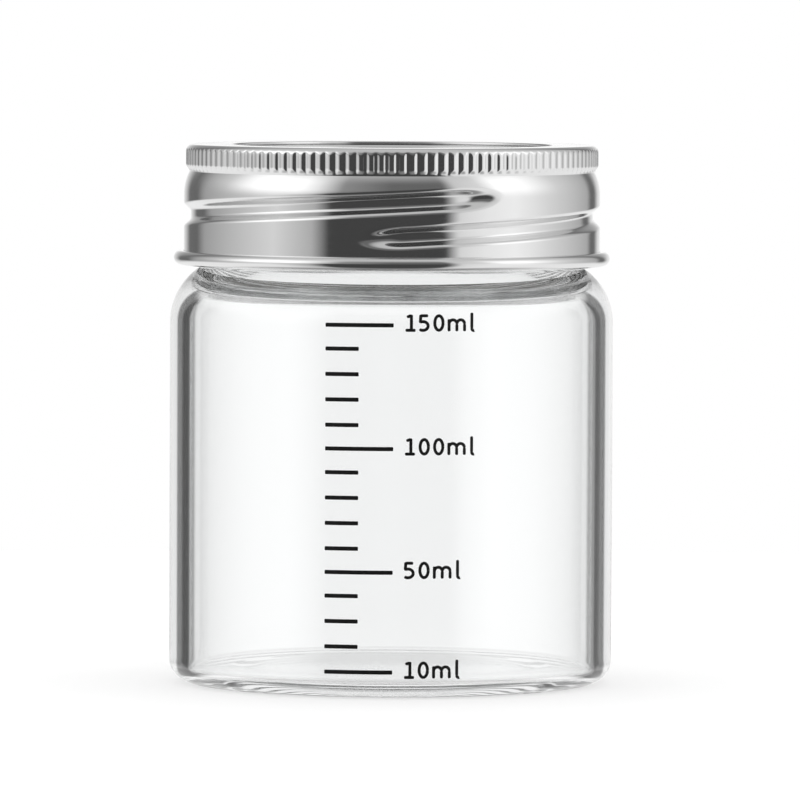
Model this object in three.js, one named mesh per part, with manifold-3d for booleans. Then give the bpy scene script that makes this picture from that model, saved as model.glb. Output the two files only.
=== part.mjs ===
// Glass steaming jar with a two-piece screw lid, in millimetres, +Z up.
// The origin lies on the jar's axis, at the surface that the jar stands on. The scale's side faces -Y.
import * as THREE from "three";
import { mergeVertices } from "three/addons/utils/BufferGeometryUtils.js";
import Module from "manifold-3d";

// Glass body
const BODY_RADIUS = 32.8; // outside of the straight wall
const WALL = 2.9; // straight wall
const FLOOR = 2.4; // base, from the standing surface to the inside
const FOOT_CORNER = 4.5; // outside rounding of the foot
const INNER_CORNER = 1; // inside rounding between wall and floor
const FOOT_RING = 4; // width of the flat ring that the jar stands on
const PUSH_UP = 0.9; // depth of the hollow inside that ring
const PUSH_UP_SLOPE = 5; // width of the hollow's sloping edge

// Glass shoulder and neck
const JAR_HEIGHT = 77.7; // standing surface to brim
const SHOULDER_WIDTH = 4.3; // how far the neck steps in from the wall
const SHOULDER_HEIGHT = 8;
const SHOULDER_FILL = 2.6; // how much lower the shoulder ends inside than outside
const NECK_HEIGHT = 16.2; // top of the shoulder to the brim
const NECK_WALL = 1.9;
const LIP_ROUND = 0.6; // rounding of the brim's two edges

// Screw thread, right-handed, with the same helix on the glass and the band
const THREAD_STARTS = 2;
const THREAD_PITCH = 5; // between neighbouring starts
const RIDGE_HEIGHT = 1.4; // glass ridge, outwards from the neck
const RIDGE_ROOT_WIDTH = 2.4;
const RIDGE_CREST_WIDTH = 1;
const RIDGE_TOP_DROP = 5.1; // brim to the middle of a ridge's upper end
const RIDGE_END_ANGLE = 222; // upper end of the first ridge, in degrees from +X
const RIDGE_SWEEP = 180;
const BEAD_START_ANGLE = 86; // lower end of the band's first pressed bead
const BEAD_SWEEP = 215;
const BEAD_TIP_WIDTH = 1.9; // pressed bead, seen from the inside
const BEAD_FLARE = 0.7; // how much further out each flank of the bead reaches at the skirt
const THREAD_FADE = 24; // degrees over which a ridge or bead runs out

// Screw band, pressed from sheet
const SHEET = 0.4;
const FLANGE_CORNER = 1; // outside rounding between flange and knurl
const KNURL_COUNT = 126;
const KNURL_DEPTH = 0.25;
const KNURL_HEIGHT = 3;
const KNURL_INSET = 0.3; // how far the knurl lies inside the skirt
const WAIST_INSET = 0.8; // how far the waist under the knurl lies inside the skirt
const BULGE_HEIGHT = 3.4; // waist to the full skirt
const HEM_RADIUS = 1.05; // rolled bottom edge
const HEM_PROUD = 1.5; // how far the rolled edge stands out from the skirt

// Disc and seal
const DISC_SHEET = 0.4;
const PANEL_DEPTH = 1.6; // how deep the disc's middle is sunk
const PANEL_BEND = 0.5; // rounding of the sunk panel's edge
const SEAL_THICKNESS = 1.2;

// Clearances
const CREST_GAP = 0.5; // glass ridge to the inside of the skirt
const ROOT_GAP = 0.6; // pressed bead to the neck
const THREAD_GAP = 0.3; // pressed bead to the underside of the glass ridge
const DISC_GAP = 0.4; // disc to the pressed beads that it drops past
const MOUTH_GAP = 2.8; // sunk panel to the bore of the neck
const OPENING_GAP = 0.3; // sunk panel to the edge of the flange's opening
const SEAL_INSET = 0.2; // seal to both edges of the brim
const SKIRT_GAP = 0.4; // rolled edge to the top of the shoulder

// Facets
const JAR_SIDES = 60;
const BAND_SIDES = 60;
const DISC_SIDES = 48;
const SAG = 0.07; // how far the facets of an arc may lie inside the true curve
const THREAD_STEP = 7.5; // degrees between sections of a ridge or bead
const SINK = 0.7; // how far a ridge is rooted in the glass before they are joined
const KNURL_SINK = 0.1; // how far the knurl's valleys are rooted in the sheet

// Sizes that follow from the ones above
const neckRadius = BODY_RADIUS - SHOULDER_WIDTH;
const neckBore = neckRadius - NECK_WALL;
const neckBottom = JAR_HEIGHT - NECK_HEIGHT;
const shoulderBottom = neckBottom - SHOULDER_HEIGHT;
const threadLead = THREAD_STARTS * THREAD_PITCH;
const crestRadius = neckRadius + RIDGE_HEIGHT;
const skirtInside = crestRadius + CREST_GAP;
const skirtOutside = skirtInside + SHEET;
const beadTip = neckRadius + ROOT_GAP;
const knurlRadius = skirtOutside - KNURL_INSET;
const knurlRoot = knurlRadius - KNURL_DEPTH;
const waistRadius = skirtOutside - WAIST_INSET;
const panelRadius = neckBore - MOUTH_GAP - DISC_SHEET;
const openingRadius = panelRadius + OPENING_GAP;
const discRadius = beadTip - DISC_GAP;
const sealTop = JAR_HEIGHT + SEAL_THICKNESS;
const discTop = sealTop + DISC_SHEET;
const bandTop = discTop + SHEET;
const knurlTop = bandTop - FLANGE_CORNER;
const waistHeight = knurlTop - KNURL_HEIGHT;
const bandBottom = neckBottom + SKIRT_GAP;

const wasm = await Module();
wasm.setup();

function point(radius, height) {
  return new THREE.Vector2(radius, height);
}

// Points of an arc in a profile, from one angle to another, in degrees from the outward direction.
function arc(centre, radius, from, to) {
  const [start, end] = [from, to].map(THREE.MathUtils.degToRad);
  const steps = Math.ceil(Math.abs(end - start) / (2 * Math.acos(1 - SAG / radius)));
  const curve = new THREE.EllipseCurve(centre.x, centre.y, radius, radius, start, end, end < start);
  return curve.getPoints(steps);
}

// Points of a rounded shoulder, which leaves the wall upright and leans in as it rises.
function shoulder(wall, neck, bottom, height) {
  const width = wall - neck;
  const radius = (width * width + height * height) / (2 * width);
  const lean = THREE.MathUtils.radToDeg(Math.atan2(height, radius - width));
  return arc(point(wall - radius, bottom), radius, 0, lean);
}

function turned(profile, sides) {
  return new THREE.LatheGeometry(profile, sides).rotateX(Math.PI / 2);
}

function solid(geometry) {
  const bare = new THREE.BufferGeometry();
  bare.setAttribute("position", geometry.getAttribute("position"));
  bare.setIndex(geometry.getIndex());
  const merged = mergeVertices(bare, 1e-4);
  const vertProperties = new Float32Array(merged.getAttribute("position").array);
  const triVerts = new Uint32Array(merged.getIndex().array);
  return new wasm.Manifold(new wasm.Mesh({ numProp: 3, vertProperties, triVerts }));
}

function geometryOf(body) {
  const { vertProperties, triVerts } = body.getMesh();
  const geometry = new THREE.BufferGeometry();
  geometry.setAttribute("position", new THREE.BufferAttribute(vertProperties, 3));
  geometry.setIndex(new THREE.BufferAttribute(triVerts, 1));
  geometry.computeVertexNormals();
  return geometry;
}

// Height of the middle of a glass ridge. The first start is at turn 0.
function ridgeHeight(angle) {
  return JAR_HEIGHT - RIDGE_TOP_DROP - (threadLead * (RIDGE_END_ANGLE - angle)) / 360;
}

// The pressed bead follows the same helix, just under the ridge that it pulls against.
function beadHeight(angle) {
  const share = (crestRadius - beadTip) / (skirtInside - beadTip);
  const beadHalfAtCrest = BEAD_TIP_WIDTH / 2 + BEAD_FLARE * share;
  return ridgeHeight(angle) - RIDGE_CREST_WIDTH / 2 - beadHalfAtCrest - THREAD_GAP;
}

// A rib wound on a helix. section(share) gives its inner and outer radius and half widths there,
// with share 0 at the two ends and 1 where the rib has its full depth.
function helicalRib(heightAt, start, sweep, section) {
  const steps = Math.ceil(sweep / THREAD_STEP);
  const positions = [];
  for (let i = 0; i <= steps; i++) {
    const along = (sweep * i) / steps;
    const angle = start + along;
    const share = THREE.MathUtils.smoothstep(Math.min(along, sweep - along), 0, THREAD_FADE);
    const { inner, outer, innerHalf, outerHalf } = section(share);
    const corners = [
      [inner, -innerHalf],
      [outer, -outerHalf],
      [outer, outerHalf],
      [inner, innerHalf],
    ];
    const turn = THREE.MathUtils.degToRad(angle);
    for (const [radius, offset] of corners) {
      positions.push(radius * Math.cos(turn), radius * Math.sin(turn), heightAt(angle) + offset);
    }
  }
  const last = steps * 4;
  const index = [0, 1, 2, 0, 2, 3, last, last + 2, last + 1, last, last + 3, last + 2];
  for (let base = 0; base < last; base += 4) {
    for (let side = 0; side < 4; side++) {
      const next = (side + 1) % 4;
      index.push(base + side, base + 4 + side, base + 4 + next);
      index.push(base + side, base + 4 + next, base + next);
    }
  }
  const geometry = new THREE.BufferGeometry();
  geometry.setAttribute("position", new THREE.Float32BufferAttribute(positions, 3));
  geometry.setIndex(index);
  return solid(geometry);
}

// One rib for each start of the thread, spaced evenly round the axis.
function threadRibs(heightAt, start, sweep, section) {
  return Array.from({ length: THREAD_STARTS }, (_, turn) => {
    const shift = (360 * turn) / THREAD_STARTS;
    return helicalRib((angle) => heightAt(angle - shift), start + shift, sweep, section);
  });
}

function glassJar() {
  const wallInside = BODY_RADIUS - WALL;
  const footOutside = BODY_RADIUS - FOOT_CORNER;
  const footInside = footOutside - FOOT_RING;
  const shoulderInside = SHOULDER_HEIGHT - SHOULDER_FILL;
  const profile = [
    point(0, PUSH_UP),
    point(footInside - PUSH_UP_SLOPE, PUSH_UP),
    point(footInside, 0),
    ...arc(point(footOutside, FOOT_CORNER), FOOT_CORNER, -90, 0),
    ...shoulder(BODY_RADIUS, neckRadius, shoulderBottom, SHOULDER_HEIGHT),
    ...arc(point(neckRadius - LIP_ROUND, JAR_HEIGHT - LIP_ROUND), LIP_ROUND, 0, 90),
    ...arc(point(neckBore + LIP_ROUND, JAR_HEIGHT - LIP_ROUND), LIP_ROUND, 90, 180),
    ...shoulder(wallInside, neckBore, shoulderBottom, shoulderInside).reverse(),
    ...arc(point(wallInside - INNER_CORNER, FLOOR + INNER_CORNER), INNER_CORNER, 0, -90),
    point(0, FLOOR),
  ];
  const ridge = (share) => ({
    inner: neckRadius - SINK,
    outer: neckRadius - SINK / 2 + share * (RIDGE_HEIGHT + SINK / 2),
    innerHalf: RIDGE_ROOT_WIDTH / 2,
    outerHalf: RIDGE_CREST_WIDTH / 2,
  });
  const ridges = threadRibs(ridgeHeight, RIDGE_END_ANGLE - RIDGE_SWEEP, RIDGE_SWEEP, ridge);
  return geometryOf(ridges.reduce((jar, rib) => jar.add(rib), solid(turned(profile, JAR_SIDES))));
}

// The grip's ridges: a ring whose outside steps in and out from one facet edge to the next.
function knurlRing() {
  const foot = point(waistRadius - 2 * KNURL_SINK, waistHeight);
  const head = point(knurlRoot - 2 * KNURL_SINK, knurlTop);
  const ridgeFoot = point(waistRadius + KNURL_DEPTH / 2, waistHeight);
  const ridgeHead = point(knurlRadius, knurlTop);
  const valleyFoot = point(waistRadius - KNURL_SINK, waistHeight);
  const valleyHead = point(knurlRoot - KNURL_SINK, knurlTop);
  const ridge = [foot, ridgeFoot, ridgeHead, head, foot];
  const valley = [foot, valleyFoot, valleyHead, head, foot];
  const ring = turned(ridge, 2 * KNURL_COUNT);
  const place = ring.getAttribute("position");
  for (let i = 0; i < place.count; i++) {
    const column = Math.floor(i / ridge.length);
    const corner = i % ridge.length;
    if (column % 2 === 1) {
      const pull = valley[corner].x / ridge[corner].x;
      place.setXY(i, place.getX(i) * pull, place.getY(i) * pull);
    }
  }
  return solid(ring);
}

function screwBand() {
  const bulgeBottom = waistHeight - BULGE_HEIGHT;
  const hemRadius = skirtOutside + HEM_PROUD - HEM_RADIUS;
  const hemHeight = bandBottom + HEM_RADIUS;
  const hemMeets = THREE.MathUtils.radToDeg(Math.acos((skirtOutside - hemRadius) / HEM_RADIUS));
  const flangeFlat = knurlRoot - FLANGE_CORNER;
  const profile = [
    point(skirtInside, hemHeight),
    point(skirtInside + SHEET, bandBottom),
    ...arc(point(hemRadius, hemHeight), HEM_RADIUS, -90, hemMeets),
    ...shoulder(skirtOutside, waistRadius, bulgeBottom, BULGE_HEIGHT),
    ...arc(point(flangeFlat, knurlTop), FLANGE_CORNER, 0, 90),
    point(openingRadius, bandTop),
    point(openingRadius, discTop),
    ...arc(point(flangeFlat, knurlTop), FLANGE_CORNER - SHEET, 90, 0),
    ...shoulder(skirtInside, waistRadius - SHEET, bulgeBottom, BULGE_HEIGHT).reverse(),
    point(skirtInside, hemHeight),
  ];
  const beadHalf = BEAD_TIP_WIDTH / 2;
  const bead = (share) => ({
    inner: THREE.MathUtils.lerp(skirtInside + SHEET / 2, beadTip, share),
    outer: skirtInside + (2 * SHEET) / 3,
    innerHalf: beadHalf,
    outerHalf: beadHalf + BEAD_FLARE,
  });
  const groove = (share) => ({
    inner: THREE.MathUtils.lerp(skirtOutside + SHEET / 2, beadTip + SHEET, share),
    outer: skirtOutside + SHEET,
    innerHalf: beadHalf - SHEET / 2,
    outerHalf: beadHalf + BEAD_FLARE - SHEET / 2,
  });
  const beads = threadRibs(beadHeight, BEAD_START_ANGLE, BEAD_SWEEP, bead);
  const grooves = threadRibs(beadHeight, BEAD_START_ANGLE, BEAD_SWEEP, groove);
  const blank = solid(turned(profile, BAND_SIDES)).add(knurlRing());
  const beaded = beads.reduce((band, rib) => band.add(rib), blank);
  return geometryOf(grooves.reduce((band, rib) => band.subtract(rib), beaded));
}

function lidDisc() {
  const panelTop = discTop - PANEL_DEPTH;
  const bend = Math.min(PANEL_BEND, (PANEL_DEPTH - DISC_SHEET) / 2);
  const outerBend = bend + DISC_SHEET;
  const low = point(panelRadius - bend, panelTop + bend);
  const high = point(panelRadius + outerBend, discTop - outerBend);
  return turned(
    [
      point(0, panelTop - DISC_SHEET),
      ...arc(low, outerBend, -90, 0),
      ...arc(high, bend, 180, 90),
      point(discRadius, sealTop),
      point(discRadius, discTop),
      ...arc(high, outerBend, 90, 180),
      ...arc(low, bend, 0, -90),
      point(0, panelTop),
    ],
    DISC_SIDES,
  );
}

function sealRing() {
  const inside = neckBore + SEAL_INSET;
  const outside = neckRadius - SEAL_INSET;
  return turned(
    [
      point(inside, JAR_HEIGHT),
      point(outside, JAR_HEIGHT),
      point(outside, sealTop),
      point(inside, sealTop),
      point(inside, JAR_HEIGHT),
    ],
    DISC_SIDES,
  );
}

function piece(name, geometry, finish) {
  const mesh = new THREE.Mesh(geometry, new THREE.MeshStandardMaterial(finish));
  mesh.name = name;
  return mesh;
}

const lid = new THREE.Group();
lid.add(
  piece("screw_band", screwBand(), { color: 0xd4d6d8, roughness: 0.16, metalness: 1 }),
  piece("lid_disc", lidDisc(), { color: 0xcfd1d3, roughness: 0.2, metalness: 1 }),
  piece("seal_ring", sealRing(), { color: 0xeceae4, roughness: 0.6, metalness: 0 }),
);

const clearGlass = { color: 0xf5f8f8, roughness: 0.03, metalness: 0, transparent: true, opacity: 0.3 };
const steamingJar = new THREE.Group();
steamingJar.add(piece("glass_jar", glassJar(), clearGlass), lid);

export default steamingJar;
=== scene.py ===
import math

import bpy
import numpy as np
from mathutils import Matrix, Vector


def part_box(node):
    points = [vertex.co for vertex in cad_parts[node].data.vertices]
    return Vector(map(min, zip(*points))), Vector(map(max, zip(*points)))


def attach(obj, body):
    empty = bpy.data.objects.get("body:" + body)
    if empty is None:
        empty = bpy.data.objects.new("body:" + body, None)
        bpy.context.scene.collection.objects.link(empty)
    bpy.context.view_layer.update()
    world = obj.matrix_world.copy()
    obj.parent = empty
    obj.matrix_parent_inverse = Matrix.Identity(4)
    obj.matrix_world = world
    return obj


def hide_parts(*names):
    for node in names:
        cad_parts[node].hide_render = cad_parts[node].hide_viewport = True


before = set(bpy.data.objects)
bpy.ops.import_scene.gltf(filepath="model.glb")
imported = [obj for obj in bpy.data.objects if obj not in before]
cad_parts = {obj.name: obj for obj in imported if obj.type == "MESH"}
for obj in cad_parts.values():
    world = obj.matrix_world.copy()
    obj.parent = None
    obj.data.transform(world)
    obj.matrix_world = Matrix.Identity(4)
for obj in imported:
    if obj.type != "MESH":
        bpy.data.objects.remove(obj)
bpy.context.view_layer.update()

# Shapes are drawn in millimetres and written to the meshes in metres.
MM = 0.001
SAME_PLACE = 1e-4

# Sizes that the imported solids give
jar_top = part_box("glass_jar")[1] / MM
band_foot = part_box("screw_band")[0] / MM
band_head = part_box("screw_band")[1] / MM
disc_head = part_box("lid_disc")[1] / MM
seal_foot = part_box("seal_ring")[0] / MM
seal_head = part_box("seal_ring")[1] / MM

# Glass
WALL = 2.9
FLOOR = 2.5
FOOT_CORNER = 4.0
FOOT_RISE = 3.4
INNER_CORNER = 0.6
FOOT_RING = 5.0
PUSH_UP = 0.4
PUSH_UP_SLOPE = 5.0
SHOULDER_WIDTH = 4.3
SHOULDER_HEIGHT = 8.0
SHOULDER_FILL = 2.6
NECK_HEIGHT = 16.2
NECK_WALL = 1.9
NECK_FILLET = 0.5
LIP_ROUND = 0.6

# Screw thread, right-handed, with two starts
THREAD_STARTS = 2
THREAD_LEAD = 10.0
RIDGE_HEIGHT = 1.4
RIDGE_TOP_DROP = 5.1
RIDGE_END_ANGLE = 222.0
RIDGE_SWEEP = 180.0
RIDGE_FADE = 20.0
RIDGE_CREST_HALF = 0.45
RIDGE_ROOT_HALF = 1.25
BEAD_START_ANGLE = 80.0
BEAD_SWEEP = 222.0
BEAD_FADE = 14.0
BEAD_DEPTH = 1.05
BEAD_DROP = 2.18
BEAD_FLAT_HALF = 0.45
BEAD_EDGE_HALF = 1.8

# Screw band
SHEET = 0.4
CREST_GAP = 0.5
KNURL_COUNT = 126
KNURL_DEPTH = 0.19
KNURL_INSET = 0.3
KNURL_LOW = 3.65
KNURL_HIGH = 0.6
KNURL_END = 0.7
KNURL_LAND = -0.55
KNURL_SKEW = 0.12
FLANGE_CORNER = 1.0
WAIST_DROP = 4.0
WAIST_INSET = 0.8
BULGE_HEIGHT = 3.4
HEM_RADIUS = 1.05
HEM_SLIT = 0.06
HEM_SLIT_DEPTH = 0.5
OPENING_RADIUS = 23.7

# Disc
PANEL_RADIUS = 23.4
PANEL_DEPTH = 1.6
PANEL_BEND = 0.35
PANEL_LEAN = 18.0

# Seal
SEAL_ROUND = 0.25

# Volume scale, measured on the unrolled wall from the middle of the front
TICK_LEFT = -9.65
TICK_LONG_RIGHT = 0.35
TICK_SHORT_RIGHT = -4.7
TICK_STROKE = 0.6
TICK_FIRST = 3.95
TICK_STEP = 3.68
TICK_STEP_BY_LONG = 3.436
TICK_MILLILITRES = 10
LONG_MILLILITRES = 50
FULL_MILLILITRES = 150
LABEL_LEFT = 2.05
LABEL_LIFT = 0.34
DIGIT_HEIGHT = 2.44
PEN = 0.185
STROKE_TIP = 0.06
STROKE_END = 0.15
STROKE_END_WIDTH = 0.6
PRINT_PROUD = 0.03
PRINT_SUNK = 0.02

# Fineness of the meshes
SHARP_ANGLE = 35.0
ARC_STEP = 3.0
SMALL_ARC = 1.5
SMALL_ARC_STEP = 12.0
JAR_COLUMNS = 240
KNURL_COLUMNS = 8 * KNURL_COUNT
BAND_COLUMNS = 4 * KNURL_COUNT
DISC_COLUMNS = 192
NECK_ROW = 0.15
SHOULDER_ROW = 0.3
HEEL_ROW = 0.07
CORNER_ROW = 0.04
SKIRT_ROW = 0.18
GRIP_ROW = 0.2
INNER_ROW = 0.5
PUSH_UP_STEPS = 8
STROKE_STATIONS = 12
BOW_STATIONS = 28

# Surfaces, with grain per metre and depths in metres
NOISE_LOW = 0.3
NOISE_HIGH = 0.7
GLASS_COLOUR = (0.985, 0.99, 0.99, 1)
GLASS_IOR = 1.5
GLASS_GRAIN = 300
GLASS_ROUGHNESS = (0, 0.03)
GLASS_SHADE = 0.85
WAVE_GRAIN = 45
WAVE_STRETCH = (1, 1, 0.6)
WAVE_DETAIL = 1
WAVE_DEPTH = 0.0002
WAVE_STRENGTH = 0.015
BAND_SHADE = 0.82
BAND_GRAIN = (60, 60, 2500)
DISC_SHADE = 0.8
DISC_GRAIN = (400, 400, 400)
STEEL_CLOUDS = 120
STEEL_CLOUD_SHADE = 0.97
STEEL_ROUGHNESS = (0.07, 0.1)
SILICONE_COLOURS = ((0.84, 0.83, 0.8), (0.88, 0.87, 0.84))
SILICONE_CLOUDS = 500
SILICONE_GRAIN = 900
SILICONE_ROUGHNESS = (0.45, 0.6)
SILICONE_PORES = 4000
SILICONE_PORE_DEPTH = 0.00003
ENAMEL_COLOURS = ((0.004, 0.004, 0.004), (0.009, 0.009, 0.009))
ENAMEL_CLOUDS = 2500
ENAMEL_GRAIN = 1500
ENAMEL_ROUGHNESS = (0.35, 0.55)
ENAMEL_SPECULAR = 0.25
ENAMEL_PORES = 6000
ENAMEL_PORE_DEPTH = 0.00001
PORE_STRENGTH = 0.3

# How often light may pass through glass or be mirrored
MAX_BOUNCES = 96
MIRROR_BOUNCES = 64

# Sizes that follow from the ones above
BODY_RADIUS = jar_top.x
JAR_HEIGHT = jar_top.z
NECK_RADIUS = BODY_RADIUS - SHOULDER_WIDTH
NECK_BORE = NECK_RADIUS - NECK_WALL
NECK_BOTTOM = JAR_HEIGHT - NECK_HEIGHT
SHOULDER_BOTTOM = NECK_BOTTOM - SHOULDER_HEIGHT
SKIRT_INSIDE = NECK_RADIUS + RIDGE_HEIGHT + CREST_GAP
SKIRT_OUTSIDE = SKIRT_INSIDE + SHEET
KNURL_RADIUS = SKIRT_OUTSIDE - KNURL_INSET
WAIST_RADIUS = SKIRT_OUTSIDE - WAIST_INSET
BAND_TOP = band_head.z
BAND_BOTTOM = band_foot.z


def ease(low, high, value):
    """Smooth step from 0 at the low end to 1 at the high end."""
    share = np.clip((value - low) / (high - low), 0, 1)
    return share * share * (3 - 2 * share)


def arc(centre, radius, start, end, row=math.inf):
    """Points of an arc in a profile, with angles in degrees from the outward direction."""
    step = min(SMALL_ARC_STEP if radius < SMALL_ARC else ARC_STEP, math.degrees(row / radius))
    steps = max(3, math.ceil(abs(end - start) / step))
    turns = np.radians(np.linspace(start, end, steps + 1))
    return [(centre[0] + radius * math.cos(t), centre[1] + radius * math.sin(t)) for t in turns]


def shoulder(wall, neck, bottom, height, row=math.inf):
    """Points of a rounded shoulder, which leaves the wall upright and leans in as it rises."""
    width = wall - neck
    radius = (width * width + height * height) / (2 * width)
    lean = math.degrees(math.atan2(height, radius - width))
    return arc((wall - radius, bottom), radius, 0, lean, row)


def upright(radius, low, high, row):
    """Points up a straight wall, close enough together to carry a thread."""
    steps = math.ceil(abs(high - low) / row)
    return [(radius, z) for z in np.linspace(low, high, steps + 1)]


def add_mesh(name, points, faces):
    mesh = bpy.data.meshes.new(name)
    mesh.from_pydata(points.tolist(), [], faces)
    mesh.polygons.foreach_set("use_smooth", [True] * len(mesh.polygons))
    mesh.set_sharp_from_angle(angle=math.radians(SHARP_ANGLE))
    mesh.validate()
    piece = bpy.data.objects.new(name, mesh)
    bpy.context.scene.collection.objects.link(piece)
    return piece


def join_rings(low, high):
    """Faces between two rings of points, where one ring may have twice as many points as the other."""
    if len(low) == len(high):
        corners = (low, np.roll(low, -1), np.roll(high, -1), high)
    elif len(low) < len(high):
        corners = (low, np.roll(low, -1), np.roll(high[::2], -1), high[1::2], high[::2])
    else:
        corners = (low[::2], low[1::2], np.roll(low[::2], -1), np.roll(high, -1), high)
    return np.stack(corners, axis=-1).tolist()


def spin(name, parts, reshape=None):
    """Turn a profile about the axis, given as parts of (points, columns) with outside before inside.

    A profile that starts on the axis also ends there, and any other one closes on itself."""
    rows = []
    for part, (places, columns) in enumerate(parts):
        for place in places:
            if not rows or math.dist(place, rows[-1][:2]) > SAME_PLACE:
                rows.append((*place, columns, part))
    solid_middle = rows[0][0] == 0
    ends = [rows.pop(0), rows.pop()] if solid_middle else []
    if not solid_middle and math.dist(rows[0][:2], rows[-1][:2]) < SAME_PLACE:
        rows.pop()
    counts = [row[2] for row in rows]
    turn = np.concatenate([np.arange(count) * 2 * math.pi / count for count in counts])
    radius, height, part = np.repeat(np.array(rows)[:, (0, 1, 3)], counts, axis=0).T
    if reshape:
        radius = reshape(radius, height, turn, part)
    points = np.stack((radius * np.cos(turn), radius * np.sin(turn), height), axis=-1)
    rings = np.split(np.arange(len(points)), np.cumsum(counts)[:-1])
    faces = []
    for low, high in zip(rings, rings[1:] + ([] if solid_middle else rings[:1])):
        faces += join_rings(low, high)
    for end, ring in zip(ends, (rings[0][::-1], rings[-1])):
        middle = len(points)
        points = np.vstack((points, (0, 0, end[1])))
        faces += [[a, b, middle] for a, b in zip(ring.tolist(), np.roll(ring, -1).tolist())]
    return add_mesh(name, points * MM, faces)


def ridge_height(angle):
    """Height of the middle of the glass thread at an angle in degrees."""
    return JAR_HEIGHT - RIDGE_TOP_DROP - THREAD_LEAD * (RIDGE_END_ANGLE - angle) / 360


def bead_height(angle):
    """Height of the middle of the groove pressed into the band."""
    return ridge_height(angle) - BEAD_DROP


def thread_share(height, turn, middle, start, sweep, fade, flat_half, edge_half):
    """How far the thread is formed at each point: 0 beside it, 1 along its middle."""
    share = np.zeros_like(height)
    for first in np.arange(THREAD_STARTS) * 360 / THREAD_STARTS:
        along = (np.degrees(turn) - start - first) % 360
        past = np.clip(1 - np.minimum(along, sweep - along) / fade, 0, 1)
        away = np.hypot(height - middle(start + along), edge_half * past)
        share = np.maximum(share, 1 - ease(flat_half, edge_half, away))
    return share


# Pieces
def glass_body():
    wall_inside = BODY_RADIUS - WALL
    foot_outside = BODY_RADIUS - FOOT_CORNER
    foot_inside = foot_outside - FOOT_RING
    inner_height = SHOULDER_HEIGHT - SHOULDER_FILL
    slope = np.linspace(0, 1, PUSH_UP_STEPS + 1)
    heel = arc((0, 0), FOOT_CORNER, -90, 0, HEEL_ROW)
    outside = [
        (0, PUSH_UP),
        (foot_inside - 2 * PUSH_UP_SLOPE, PUSH_UP),
        *((foot_inside - PUSH_UP_SLOPE * (1 - t), PUSH_UP * (1 - ease(0, 1, t))) for t in slope),
        *((foot_outside + r, FOOT_RISE * (1 + z / FOOT_CORNER)) for r, z in heel),
        *shoulder(BODY_RADIUS, NECK_RADIUS, SHOULDER_BOTTOM, SHOULDER_HEIGHT, SHOULDER_ROW),
        *upright(NECK_RADIUS, NECK_BOTTOM + NECK_FILLET, JAR_HEIGHT - LIP_ROUND, NECK_ROW),
    ]
    inside = [
        *arc((NECK_RADIUS - LIP_ROUND, JAR_HEIGHT - LIP_ROUND), LIP_ROUND, 0, 90),
        *arc((NECK_BORE + LIP_ROUND, JAR_HEIGHT - LIP_ROUND), LIP_ROUND, 90, 180),
        *reversed(shoulder(wall_inside, NECK_BORE, SHOULDER_BOTTOM, inner_height, SHOULDER_ROW)),
        *arc((wall_inside - INNER_CORNER, FLOOR + INNER_CORNER), INNER_CORNER, 0, -90, CORNER_ROW),
        (0, FLOOR),
    ]

    def with_ridges(radius, height, turn, part):
        ridge = (RIDGE_END_ANGLE - RIDGE_SWEEP, RIDGE_SWEEP, RIDGE_FADE, RIDGE_CREST_HALF, RIDGE_ROOT_HALF)
        return radius + RIDGE_HEIGHT * thread_share(height, turn, ridge_height, *ridge) * (part == 0)

    return spin("glass_body", [(outside, JAR_COLUMNS), (inside, JAR_COLUMNS)], with_ridges)


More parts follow.
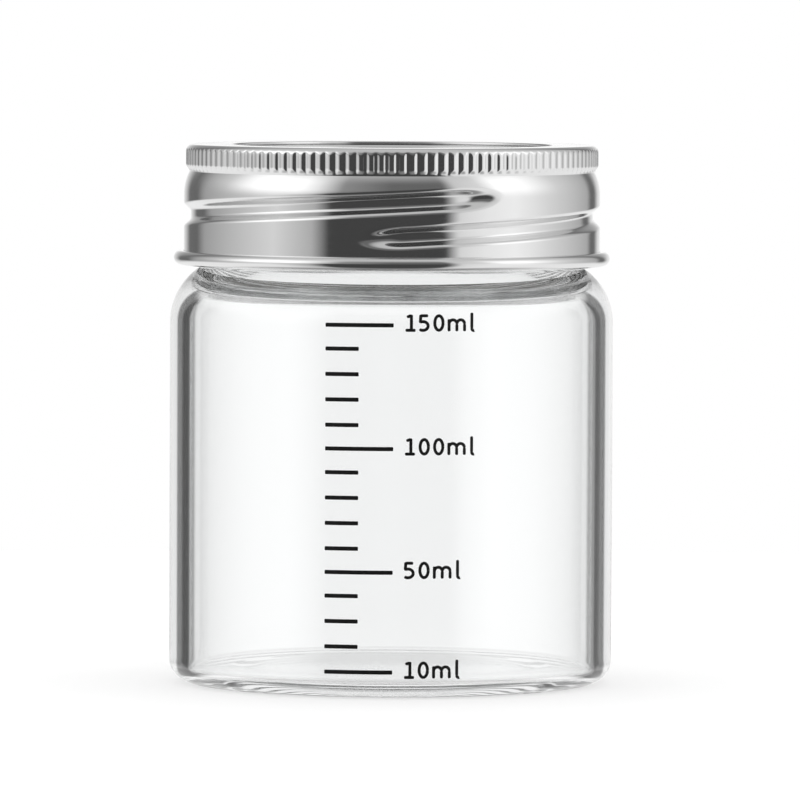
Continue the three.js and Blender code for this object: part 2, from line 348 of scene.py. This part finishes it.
def steel_band():
    hem_middle = (band_head.x - HEM_RADIUS, BAND_BOTTOM + HEM_RADIUS)
    hem_top = BAND_BOTTOM + 2 * HEM_RADIUS
    hem_inside = -math.degrees(math.acos((SKIRT_INSIDE - hem_middle[0]) / HEM_RADIUS))
    hem_meets = math.degrees(math.acos((SKIRT_OUTSIDE + HEM_SLIT - hem_middle[0]) / HEM_RADIUS))
    waist = BAND_TOP - WAIST_DROP
    bulge_bottom = waist - BULGE_HEIGHT
    corner = (KNURL_RADIUS - FLANGE_CORNER, BAND_TOP - FLANGE_CORNER)
    grip = upright(KNURL_RADIUS, waist, corner[1], GRIP_ROW)
    grip_foot = BAND_TOP - KNURL_LOW
    edge = (OPENING_RADIUS + SHEET / 2, BAND_TOP - SHEET / 2)
    skirt = [
        *arc(hem_middle, HEM_RADIUS, hem_inside, hem_meets),
        (SKIRT_OUTSIDE + HEM_SLIT / 2, hem_top - HEM_SLIT_DEPTH),
        *upright(SKIRT_OUTSIDE, hem_top, bulge_bottom, SKIRT_ROW),
        *shoulder(SKIRT_OUTSIDE, WAIST_RADIUS, bulge_bottom, BULGE_HEIGHT, SKIRT_ROW),
    ]
    knurl = [
        *((r + (WAIST_RADIUS - r) * (1 - ease(waist, grip_foot + KNURL_END, z)), z) for r, z in grip),
        *arc(corner, FLANGE_CORNER, 0, 90),
    ]
    inside = [
        *arc(edge, SHEET / 2, 90, 270),
        *arc(corner, FLANGE_CORNER - SHEET, 90, 0),
        *reversed(shoulder(SKIRT_INSIDE, WAIST_RADIUS - SHEET, bulge_bottom, BULGE_HEIGHT)),
        *upright(SKIRT_INSIDE, bulge_bottom, hem_top, INNER_ROW),
    ]

    def pressed(radius, height, turn, part):
        from_end = np.minimum(height - grip_foot, BAND_TOP - KNURL_HIGH - height)
        past_end = np.clip(1 - from_end / KNURL_END, 0, 1)
        narrowed = 1 - np.sqrt(1 - past_end ** 2)
        across = KNURL_COUNT * turn
        wave = np.cos(across) - KNURL_SKEW * np.sin(2 * across)
        flutes = (wave - KNURL_LAND) / (1 - KNURL_LAND) - narrowed
        bead = (BEAD_START_ANGLE, BEAD_SWEEP, BEAD_FADE, BEAD_FLAT_HALF, BEAD_EDGE_HALF)
        groove = BEAD_DEPTH * thread_share(height, turn, bead_height, *bead)
        return radius - KNURL_DEPTH * np.clip(flutes, 0, 1) * (part == 1) - groove

    parts = [(skirt, BAND_COLUMNS), (knurl, KNURL_COLUMNS), (inside, BAND_COLUMNS)]
    return spin("steel_band", parts, pressed)


def steel_disc():
    top = disc_head.z
    panel_top = top - PANEL_DEPTH
    outer_bend = PANEL_BEND + SHEET
    lean = math.tan(math.radians(PANEL_LEAN)) * PANEL_DEPTH
    low = (PANEL_RADIUS - lean - PANEL_BEND, panel_top + PANEL_BEND)
    high = (PANEL_RADIUS + outer_bend, top - outer_bend)
    rim = (disc_head.x - SHEET / 2, top - SHEET / 2)
    profile = [
        (0, panel_top - SHEET),
        *arc(low, outer_bend, -90, -PANEL_LEAN),
        *arc(high, PANEL_BEND, 180 - PANEL_LEAN, 90),
        *arc(rim, SHEET / 2, -90, 90),
        *arc(high, outer_bend, 90, 180 - PANEL_LEAN),
        *arc(low, PANEL_BEND, -PANEL_LEAN, -90),
        (0, panel_top),
    ]
    return spin("steel_disc", [(profile, DISC_COLUMNS)])


def silicone_seal():
    outside = seal_head.x
    inside = outside - (NECK_WALL - 2 * (NECK_RADIUS - outside))
    low, high = seal_foot.z, seal_head.z
    profile = [
        *arc((inside + SEAL_ROUND, low + SEAL_ROUND), SEAL_ROUND, -180, -90),
        *arc((outside - SEAL_ROUND, low + SEAL_ROUND), SEAL_ROUND, -90, 0),
        *arc((outside - SEAL_ROUND, high - SEAL_ROUND), SEAL_ROUND, 0, 90),
        *arc((inside + SEAL_ROUND, high - SEAL_ROUND), SEAL_ROUND, 90, 180),
    ]
    return spin("silicone_seal", [(profile, DISC_COLUMNS)])


# Print
def line(start, end):
    """Stations along a straight pen stroke, close enough to follow the wall, with eased ends."""
    length = math.dist(start, end)
    tip = STROKE_TIP / length
    middle = np.linspace(STROKE_END / length, 1 - STROKE_END / length, STROKE_STATIONS)
    shares = [0, tip, *middle, 1 - tip, 1]
    return np.array(start) + np.outer(shares, np.subtract(end, start))


def bow(centre, half_width, half_height, start, end):
    """Stations along a curved pen stroke."""
    turns = np.radians(np.linspace(start, end, BOW_STATIONS))
    return np.stack((centre[0] + half_width * np.cos(turns), centre[1] + half_height * np.sin(turns)), axis=1)


# Pen strokes of each letter, in shares of a digit's height
def glyph_one():
    return [line((0.0, 0.07), (0.6, 0.07)), line((0.35, 0.03), (0.35, 1.0)), line((0.08, 0.85), (0.36, 0.95))]


def glyph_five():
    bowl = bow((0.21, 0.325), 0.31, 0.26, 127, -132)
    return [line((0.05, 0.93), (0.52, 0.93)), line((0.08, 0.99), (0.05, 0.5)), bowl]


def glyph_nought():
    return [bow((0.32, 0.5), 0.25, 0.43, 0, 360)]


def glyph_m():
    arches = [bow((x, 0.44), 0.24, 0.24, 180, 0) for x in (0.31, 0.79)]
    return [line((x, 0.0), (x, top)) for x, top in ((0.07, 0.73), (0.55, 0.45), (1.03, 0.45))] + arches


def glyph_l():
    return [line((0.09, 1.1), (0.09, 0.15)), bow((0.21, 0.17), 0.12, 0.13, 180, 290)]


# Strokes of each letter and how far it moves the pen on
GLYPHS = {
    "1": (glyph_one(), 0.83),
    "5": (glyph_five(), 0.85),
    "0": (glyph_nought(), 0.87),
    "m": (glyph_m(), 1.4),
    "l": (glyph_l(), 0.4),
}


def pen_stroke(path, width):
    """Left and right edges of a stroke along a path, narrower at its two ends."""
    along = np.gradient(path, axis=0)
    along /= np.linalg.norm(along, axis=1)[:, None]
    across = np.stack((-along[:, 1], along[:, 0]), axis=1)
    closed = math.dist(path[0], path[-1]) < SAME_PLACE
    half = np.full((len(path), 1), width / 2)
    if not closed:
        half[[0, -1]] *= STROKE_END_WIDTH
    return path + across * half, path - across * half


def print_on_wall(name, strokes):
    """Strokes, as left and right edges in millimetres on the unrolled wall, laid on the glass as enamel."""
    points = []
    faces = []
    for left, right in strokes:
        base = len(points)
        count = len(left)
        for (x1, z1), (x2, z2) in zip(left, right):
            for x, z, proud in (
                (x1, z1, -PRINT_SUNK),
                (x2, z2, -PRINT_SUNK),
                (x2, z2, PRINT_PROUD),
                (x1, z1, PRINT_PROUD),
            ):
                turn = x / BODY_RADIUS
                radius = BODY_RADIUS + proud
                points.append((radius * math.sin(turn), -radius * math.cos(turn), z))
        for i in range(base, base + 4 * (count - 1), 4):
            for side in range(4):
                after = (side + 1) % 4
                faces.append([i + side, i + after, i + 4 + after, i + 4 + side])
        last = base + 4 * (count - 1)
        faces.append([base + 3, base + 2, base + 1, base])
        faces.append([last, last + 1, last + 2, last + 3])
    return add_mesh(name, np.array(points) * MM, faces)


def scale_heights():
    """Height of each mark of the scale, by its millilitres."""
    heights = {TICK_MILLILITRES: TICK_FIRST}
    for volume in range(2 * TICK_MILLILITRES, FULL_MILLILITRES + 1, TICK_MILLILITRES):
        before = volume - TICK_MILLILITRES
        by_long = volume % LONG_MILLILITRES == 0 or (before % LONG_MILLILITRES == 0)
        heights[volume] = heights[before] + (TICK_STEP_BY_LONG if by_long else TICK_STEP)
    return heights


def is_labelled(volume):
    return volume == TICK_MILLILITRES or volume % LONG_MILLILITRES == 0


def scale_ticks():
    strokes = []
    for volume, height in scale_heights().items():
        right = TICK_LONG_RIGHT if is_labelled(volume) else TICK_SHORT_RIGHT
        strokes.append(pen_stroke(line((TICK_LEFT, height), (right, height)), TICK_STROKE))
    return print_on_wall("scale_ticks", strokes)


def scale_label(volume):
    bottom = scale_heights()[volume] + LABEL_LIFT - DIGIT_HEIGHT / 2
    left = LABEL_LEFT
    strokes = []
    for letter in f"{volume}ml":
        paths, advance = GLYPHS[letter]
        place = np.array((left, bottom))
        strokes += [pen_stroke(place + path * DIGIT_HEIGHT, PEN * DIGIT_HEIGHT) for path in paths]
        left += advance * DIGIT_HEIGHT
    return print_on_wall(f"scale_label_{volume}", strokes)


# Materials
def new_material(name):
    material = bpy.data.materials.new(name)
    material.use_nodes = True
    nodes = material.node_tree.nodes
    return material, nodes, material.node_tree.links, nodes["Principled BSDF"]


def grain(nodes, links, scale, stretch=(1, 1, 1), detail=3):
    """Noise fixed to the object, in metres, stretched along the axes."""
    where = nodes.new("ShaderNodeTexCoord")
    spread = nodes.new("ShaderNodeMapping")
    spread.inputs["Scale"].default_value = stretch
    noise = nodes.new("ShaderNodeTexNoise")
    noise.inputs["Scale"].default_value = scale
    noise.inputs["Detail"].default_value = detail
    links.new(where.outputs["Object"], spread.inputs["Vector"])
    links.new(spread.outputs["Vector"], noise.inputs["Vector"])
    return noise.outputs["Fac"]


def vary(nodes, links, value, low, high, socket):
    """Spread a noise value over a range and feed it to a socket."""
    spread = nodes.new("ShaderNodeMapRange")
    spread.inputs["From Min"].default_value = NOISE_LOW
    spread.inputs["From Max"].default_value = NOISE_HIGH
    spread.inputs["To Min"].default_value = low
    spread.inputs["To Max"].default_value = high
    links.new(value, spread.inputs["Value"])
    links.new(spread.outputs["Result"], socket)


def tint(nodes, links, value, dark, light, socket):
    """Turn a noise value into a colour between two and feed it to a socket."""
    ramp = nodes.new("ShaderNodeValToRGB")
    ramp.color_ramp.elements[0].position = NOISE_LOW
    ramp.color_ramp.elements[0].color = (*dark, 1)
    ramp.color_ramp.elements[1].position = NOISE_HIGH
    ramp.color_ramp.elements[1].color = (*light, 1)
    links.new(value, ramp.inputs["Fac"])
    links.new(ramp.outputs["Color"], socket)


def rough_up(nodes, links, value, depth, strength, shader):
    """Give a shader a bumpy surface from a noise value."""
    bump = nodes.new("ShaderNodeBump")
    bump.inputs["Distance"].default_value = depth
    bump.inputs["Strength"].default_value = strength
    links.new(value, bump.inputs["Height"])
    links.new(bump.outputs["Normal"], shader.inputs["Normal"])


def clear_glass():
    material, nodes, links, shader = new_material("clear_glass")
    shader.inputs["Base Color"].default_value = GLASS_COLOUR
    shader.inputs["Transmission Weight"].default_value = 1
    shader.inputs["IOR"].default_value = GLASS_IOR
    vary(nodes, links, grain(nodes, links, GLASS_GRAIN), *GLASS_ROUGHNESS, shader.inputs["Roughness"])
    waves = grain(nodes, links, WAVE_GRAIN, WAVE_STRETCH, WAVE_DETAIL)
    rough_up(nodes, links, waves, WAVE_DEPTH, WAVE_STRENGTH, shader)
    open_to_light(nodes, links, shader)
    return material


def open_to_light(nodes, links, shader):
    """Let soft light through to what stands in or under the glass."""
    path = nodes.new("ShaderNodeLightPath")
    either = nodes.new("ShaderNodeMath")
    either.operation = "MAXIMUM"
    clear = nodes.new("ShaderNodeBsdfTransparent")
    clear.inputs["Color"].default_value = (*[GLASS_SHADE] * 3, 1)
    mix = nodes.new("ShaderNodeMixShader")
    links.new(path.outputs["Is Shadow Ray"], either.inputs[0])
    links.new(path.outputs["Is Diffuse Ray"], either.inputs[1])
    links.new(either.outputs[0], mix.inputs["Fac"])
    links.new(shader.outputs["BSDF"], mix.inputs[1])
    links.new(clear.outputs["BSDF"], mix.inputs[2])
    links.new(mix.outputs["Shader"], nodes["Material Output"].inputs["Surface"])


def steel(name, shade, stretch):
    material, nodes, links, shader = new_material(name)
    drawn = grain(nodes, links, 1, stretch)
    cloud = grain(nodes, links, STEEL_CLOUDS)
    shader.inputs["Metallic"].default_value = 1
    colours = ([shade * STEEL_CLOUD_SHADE] * 3, [shade] * 3)
    tint(nodes, links, cloud, *colours, shader.inputs["Base Color"])
    vary(nodes, links, drawn, *STEEL_ROUGHNESS, shader.inputs["Roughness"])
    return material


def soft_silicone():
    material, nodes, links, shader = new_material("soft_silicone")
    cloud = grain(nodes, links, SILICONE_CLOUDS)
    tint(nodes, links, cloud, *SILICONE_COLOURS, shader.inputs["Base Color"])
    vary(nodes, links, grain(nodes, links, SILICONE_GRAIN), *SILICONE_ROUGHNESS, shader.inputs["Roughness"])
    rough_up(nodes, links, grain(nodes, links, SILICONE_PORES), SILICONE_PORE_DEPTH, PORE_STRENGTH, shader)
    return material


def black_enamel():
    material, nodes, links, shader = new_material("black_enamel")
    cloud = grain(nodes, links, ENAMEL_CLOUDS)
    tint(nodes, links, cloud, *ENAMEL_COLOURS, shader.inputs["Base Color"])
    vary(nodes, links, grain(nodes, links, ENAMEL_GRAIN), *ENAMEL_ROUGHNESS, shader.inputs["Roughness"])
    shader.inputs["Specular IOR Level"].default_value = ENAMEL_SPECULAR
    rough_up(nodes, links, grain(nodes, links, ENAMEL_PORES), ENAMEL_PORE_DEPTH, PORE_STRENGTH, shader)
    return material


# Studio, in metres and degrees, with brightness as a share of white
CAMERA_DISTANCE = 1.332
CAMERA_HEIGHT = 0.107
CAMERA_SIDE = 0.0013
CAMERA_PITCH = 2.8
CAMERA_ROLL = 0.25
CAMERA_NEAR = 0.05
LENS = 405
TABLE_RADIUS = 0.3
TABLE_MIRRORED = 0.03
TABLE_SHADE = 0.8
TABLE_GLOW = 0.32
TABLE_GAP = 0.00005
TABLE_COLUMNS = 128
TABLE_CLOUDS = 60
TABLE_CLOUD_SHADE = 0.98
TABLE_ROUGHNESS = 0.9
TABLE_SPECULAR = 0.1
ZENITH = 0.6
OVER_FLAGS = 0.75
WHITE = 0.95
# Painted shadow of the jar on the table, as steel and glass mirror it straight down
JAR_SHADOW_SHADE = 0.3

# Where one part of the studio gives way to the next, in the part of a direction that points up
LIGHTS_RISE = (0, 0.34)
FLAGS_END = (0.28, 0.4)
CEILING = (0.5, 0.97)

# The same in the part that points down: where the table begins for steel, straight through glass and
# mirrored inside glass, and where the painted shadow of the jar on the table's middle begins in mirrors
TABLE_IN_STEEL = (0.05, 0.3)
TABLE_PAST_GLASS = (0.1, 0.16)
TABLE_IN_GLASS = (0.25, 0.5)
JAR_SHADOW_REACH = (0.6, 0.95)

# The same in the part that points away from the camera: light mirrored towards the camera misses the table
TABLE_FRONT = (-0.7, -0.2)

# Brightness round the studio, as (degrees to the right of the camera's side, value): a dark room behind the
# camera, a soft light on each side, a dark flag beside the backdrop, and the white backdrop behind the jar.
# First round the horizon as steel mirrors it, then as it shows through glass, and then higher up for steel,
# where the lights are brighter and the backdrop ends.
HORIZON = (
    (-180, 1.1),
    (-160, 0.58),
    (-151, 0.16),
    (-137, 0.15),
    (-127, 0.39),
    (-96, 0.59),
    (-69, 0.79),
    (-45, 0.5),
    (-35, 0.06),
    (30, 0.06),
    (38, 0.8),
    (54, 0.96),
    (72, 1.05),
    (96, 0.8),
    (138, 0.45),
    (144, 0.15),
    (151, 0.16),
    (160, 0.73),
    (180, 1.1),
)
THROUGH_GLASS = (
    (-180, 1.05),
    (-160, 1.0),
    (-157, 0.06),
    (-140, 0.06),
    (-138, 0.3),
    (-128, 0.34),
    (-111, 0.55),
    (-90, 0.8),
    (-60, 0.95),
    (-45, 0.5),
    (-35, 0.08),
    (35, 0.08),
    (45, 0.5),
    (60, 0.95),
    (90, 0.8),
    (111, 0.55),
    (128, 0.34),
    (141, 0.3),
    (142.5, 0.06),
    (157, 0.06),
    (160, 1.0),
    (180, 1.05),
)
HIGHER = (
    (-180, 0.35),
    (-155, 0.3),
    (-143, 0.16),
    (-125, 0.48),
    (-108, 0.71),
    (-93, 1.15),
    (-80, 1.4),
    (-55, 1.35),
    (-44, 1.0),
    (-28, 0.3),
    (0, 0.15),
    (30, 0.15),
    (37, 0.68),
    (52, 0.8),
    (63, 1.3),
    (81, 1.3),
    (107, 0.77),
    (140, 0.45),
    (147, 0.16),
    (160, 0.35),
    (180, 0.35),
)


def add_camera():
    data = bpy.data.cameras.new("camera")
    data.lens = LENS
    data.clip_start = CAMERA_NEAR
    camera = bpy.data.objects.new("camera", data)
    aim = Matrix.Rotation(math.radians(90 - CAMERA_PITCH), 4, "X")
    roll = Matrix.Rotation(math.radians(CAMERA_ROLL), 4, "Z")
    stand = Matrix.Translation((CAMERA_SIDE, -CAMERA_DISTANCE, CAMERA_HEIGHT))
    camera.matrix_world = stand @ aim @ roll
    bpy.context.scene.collection.objects.link(camera)
    bpy.context.scene.camera = camera


def clear_for_mirrors(nodes, links, path, shader):
    """Let steel and glass see past the table to the studio, except close to the jar."""
    where = nodes.new("ShaderNodeTexCoord")
    reach = nodes.new("ShaderNodeVectorMath")
    reach.operation = "LENGTH"
    far = nodes.new("ShaderNodeMath")
    far.operation = "GREATER_THAN"
    far.inputs[1].default_value = TABLE_MIRRORED
    share = nodes.new("ShaderNodeMath")
    share.operation = "MULTIPLY"
    clear = nodes.new("ShaderNodeBsdfTransparent")
    mix = nodes.new("ShaderNodeMixShader")
    links.new(where.outputs["Object"], reach.inputs[0])
    links.new(reach.outputs["Value"], far.inputs[0])
    links.new(far.outputs[0], share.inputs[0])
    links.new(path.outputs["Is Glossy Ray"], share.inputs[1])
    links.new(share.outputs[0], mix.inputs["Fac"])
    links.new(shader.outputs["BSDF"], mix.inputs[1])
    links.new(clear.outputs["BSDF"], mix.inputs[2])
    links.new(mix.outputs["Shader"], nodes["Material Output"].inputs["Surface"])


def add_table():
    turns = np.linspace(0, 2 * math.pi, TABLE_COLUMNS, endpoint=False)
    points = np.stack((np.cos(turns), np.sin(turns), np.zeros_like(turns)), axis=1) * TABLE_RADIUS
    points[:, 2] = -TABLE_GAP
    table = add_mesh("table", points, [list(range(len(turns)))])
    material, nodes, links, shader = new_material("pale_table")
    cloud = grain(nodes, links, TABLE_CLOUDS)
    colours = ([TABLE_SHADE * TABLE_CLOUD_SHADE] * 3, [TABLE_SHADE] * 3)
    tint(nodes, links, cloud, *colours, shader.inputs["Base Color"])
    shader.inputs["Roughness"].default_value = TABLE_ROUGHNESS
    shader.inputs["Specular IOR Level"].default_value = TABLE_SPECULAR
    shader.inputs["Emission Color"].default_value = (1, 1, 1, 1)
    path = nodes.new("ShaderNodeLightPath")
    in_sight = nodes.new("ShaderNodeMath")
    in_sight.operation = "MAXIMUM"
    glow = nodes.new("ShaderNodeMath")
    glow.operation = "MULTIPLY"
    glow.inputs[1].default_value = TABLE_GLOW
    links.new(path.outputs["Is Camera Ray"], in_sight.inputs[0])
    links.new(path.outputs["Is Transmission Ray"], in_sight.inputs[1])
    links.new(in_sight.outputs[0], glow.inputs[0])
    links.new(glow.outputs[0], shader.inputs["Emission Strength"])
    clear_for_mirrors(nodes, links, path, shader)
    table.data.materials.append(material)


def add_world():
    world = bpy.data.worlds.new("studio")
    world.use_nodes = True
    bpy.context.scene.world = world
    nodes = world.node_tree.nodes
    links = world.node_tree.links

    def math_node(operation, first, second):
        node = nodes.new("ShaderNodeMath")
        node.operation = operation
        for socket, value in zip(node.inputs, (first, second)):
            if isinstance(value, (int, float)):
                socket.default_value = value
            else:
                links.new(value, socket)
        return node.outputs[0]

    def mix(share, first, second):
        return math_node("ADD", first, math_node("MULTIPLY", share, math_node("SUBTRACT", second, first)))

    def smooth(value, low, high):
        node = nodes.new("ShaderNodeMapRange")
        node.interpolation_type = "SMOOTHSTEP"
        node.inputs["From Min"].default_value = low
        node.inputs["From Max"].default_value = high
        links.new(value, node.inputs["Value"])
        return node.outputs["Result"]

    def bearing(right, near):
        around = math_node("ARCTAN2", right, near)
        return math_node("ADD", 0.5, math_node("DIVIDE", around, 2 * math.pi))

    def ramp(place, stops):
        node = nodes.new("ShaderNodeValToRGB")
        links.new(place, node.inputs["Fac"])
        peak = max(value for _, value in stops)
        elements = node.color_ramp.elements
        elements[1].position = 1
        for i, (angle, value) in enumerate(stops):
            position = 0.5 + angle / 360
            element = elements[0] if i == 0 else elements[len(elements) - 1]
            if 0 < i < len(stops) - 1:
                element = elements.new(position)
            element.color = (*[value / peak] * 3, 1)
        return math_node("MULTIPLY", node.outputs["Color"], peak)

    where = nodes.new("ShaderNodeTexCoord").outputs["Generated"]
    axes = nodes.new("ShaderNodeSeparateXYZ")
    links.new(where, axes.inputs[0])
    east, north, up = axes.outputs
    south = math_node("MULTIPLY", north, -1)
    path = nodes.new("ShaderNodeLightPath").outputs
    through_glass = path["Is Transmission Ray"]
    place = bearing(east, south)
    # Straight through the glass the backdrop and flags show on both sides of the jar.
    far_side = math_node("MULTIPLY", math_node("ABSOLUTE", north, 0), -1)
    mirrored = math_node("MINIMUM", path["Glossy Depth"], 1)
    glass_place = bearing(east, mix(mirrored, far_side, south))
    horizon = mix(through_glass, ramp(place, HORIZON), ramp(glass_place, THROUGH_GLASS))
    higher = mix(through_glass, ramp(place, HIGHER), OVER_FLAGS)
    high = mix(through_glass, smooth(up, *LIGHTS_RISE), smooth(up, *FLAGS_END))
    sides = mix(high, horizon, higher)
    above = mix(smooth(up, *CEILING), sides, ZENITH)
    down = math_node("MULTIPLY", up, -1)
    past_glass = mix(mirrored, smooth(down, *TABLE_PAST_GLASS), smooth(down, *TABLE_IN_GLASS))
    deep = mix(through_glass, smooth(down, *TABLE_IN_STEEL), past_glass)
    onto_table = math_node("MULTIPLY", deep, mix(mirrored, 1, smooth(north, *TABLE_FRONT)))
    # Mirrored rays looking straight down see a painted shadow of the jar on the table instead of white
    table = mix(math_node("MULTIPLY", mirrored, smooth(down, *JAR_SHADOW_REACH)), WHITE, JAR_SHADOW_SHADE)
    seen = mix(onto_table, above, table)
    background = nodes["Background"]
    background.inputs["Color"].default_value = (1, 1, 1, 1)
    links.new(mix(path["Is Glossy Ray"], 1, seen), background.inputs["Strength"])


def dress(piece, body, slot, material, *nodes):
    piece.data.materials.append(material)
    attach(piece, body)
    if nodes:
        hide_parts(*nodes)


add_camera()
add_world()
add_table()

dress(glass_body(), "jar", "clear_glass", clear_glass(), "glass_jar")
dress(steel_band(), "band", "polished_steel", steel("polished_steel", BAND_SHADE, BAND_GRAIN), "screw_band")
dress(steel_disc(), "lid", "disc_steel", steel("disc_steel", DISC_SHADE, DISC_GRAIN), "lid_disc")
dress(silicone_seal(), "lid", "seal", soft_silicone(), "seal_ring")
enamel = black_enamel()
dress(scale_ticks(), "jar", "scale_print", enamel)
for labelled in filter(is_labelled, scale_heights()):
    dress(scale_label(labelled), "jar", "scale_print", enamel)

scene = bpy.context.scene
scene.view_settings.view_transform = "Standard"
scene.cycles.max_bounces = MAX_BOUNCES
scene.cycles.glossy_bounces = MIRROR_BOUNCES
scene.cycles.transmission_bounces = MAX_BOUNCES
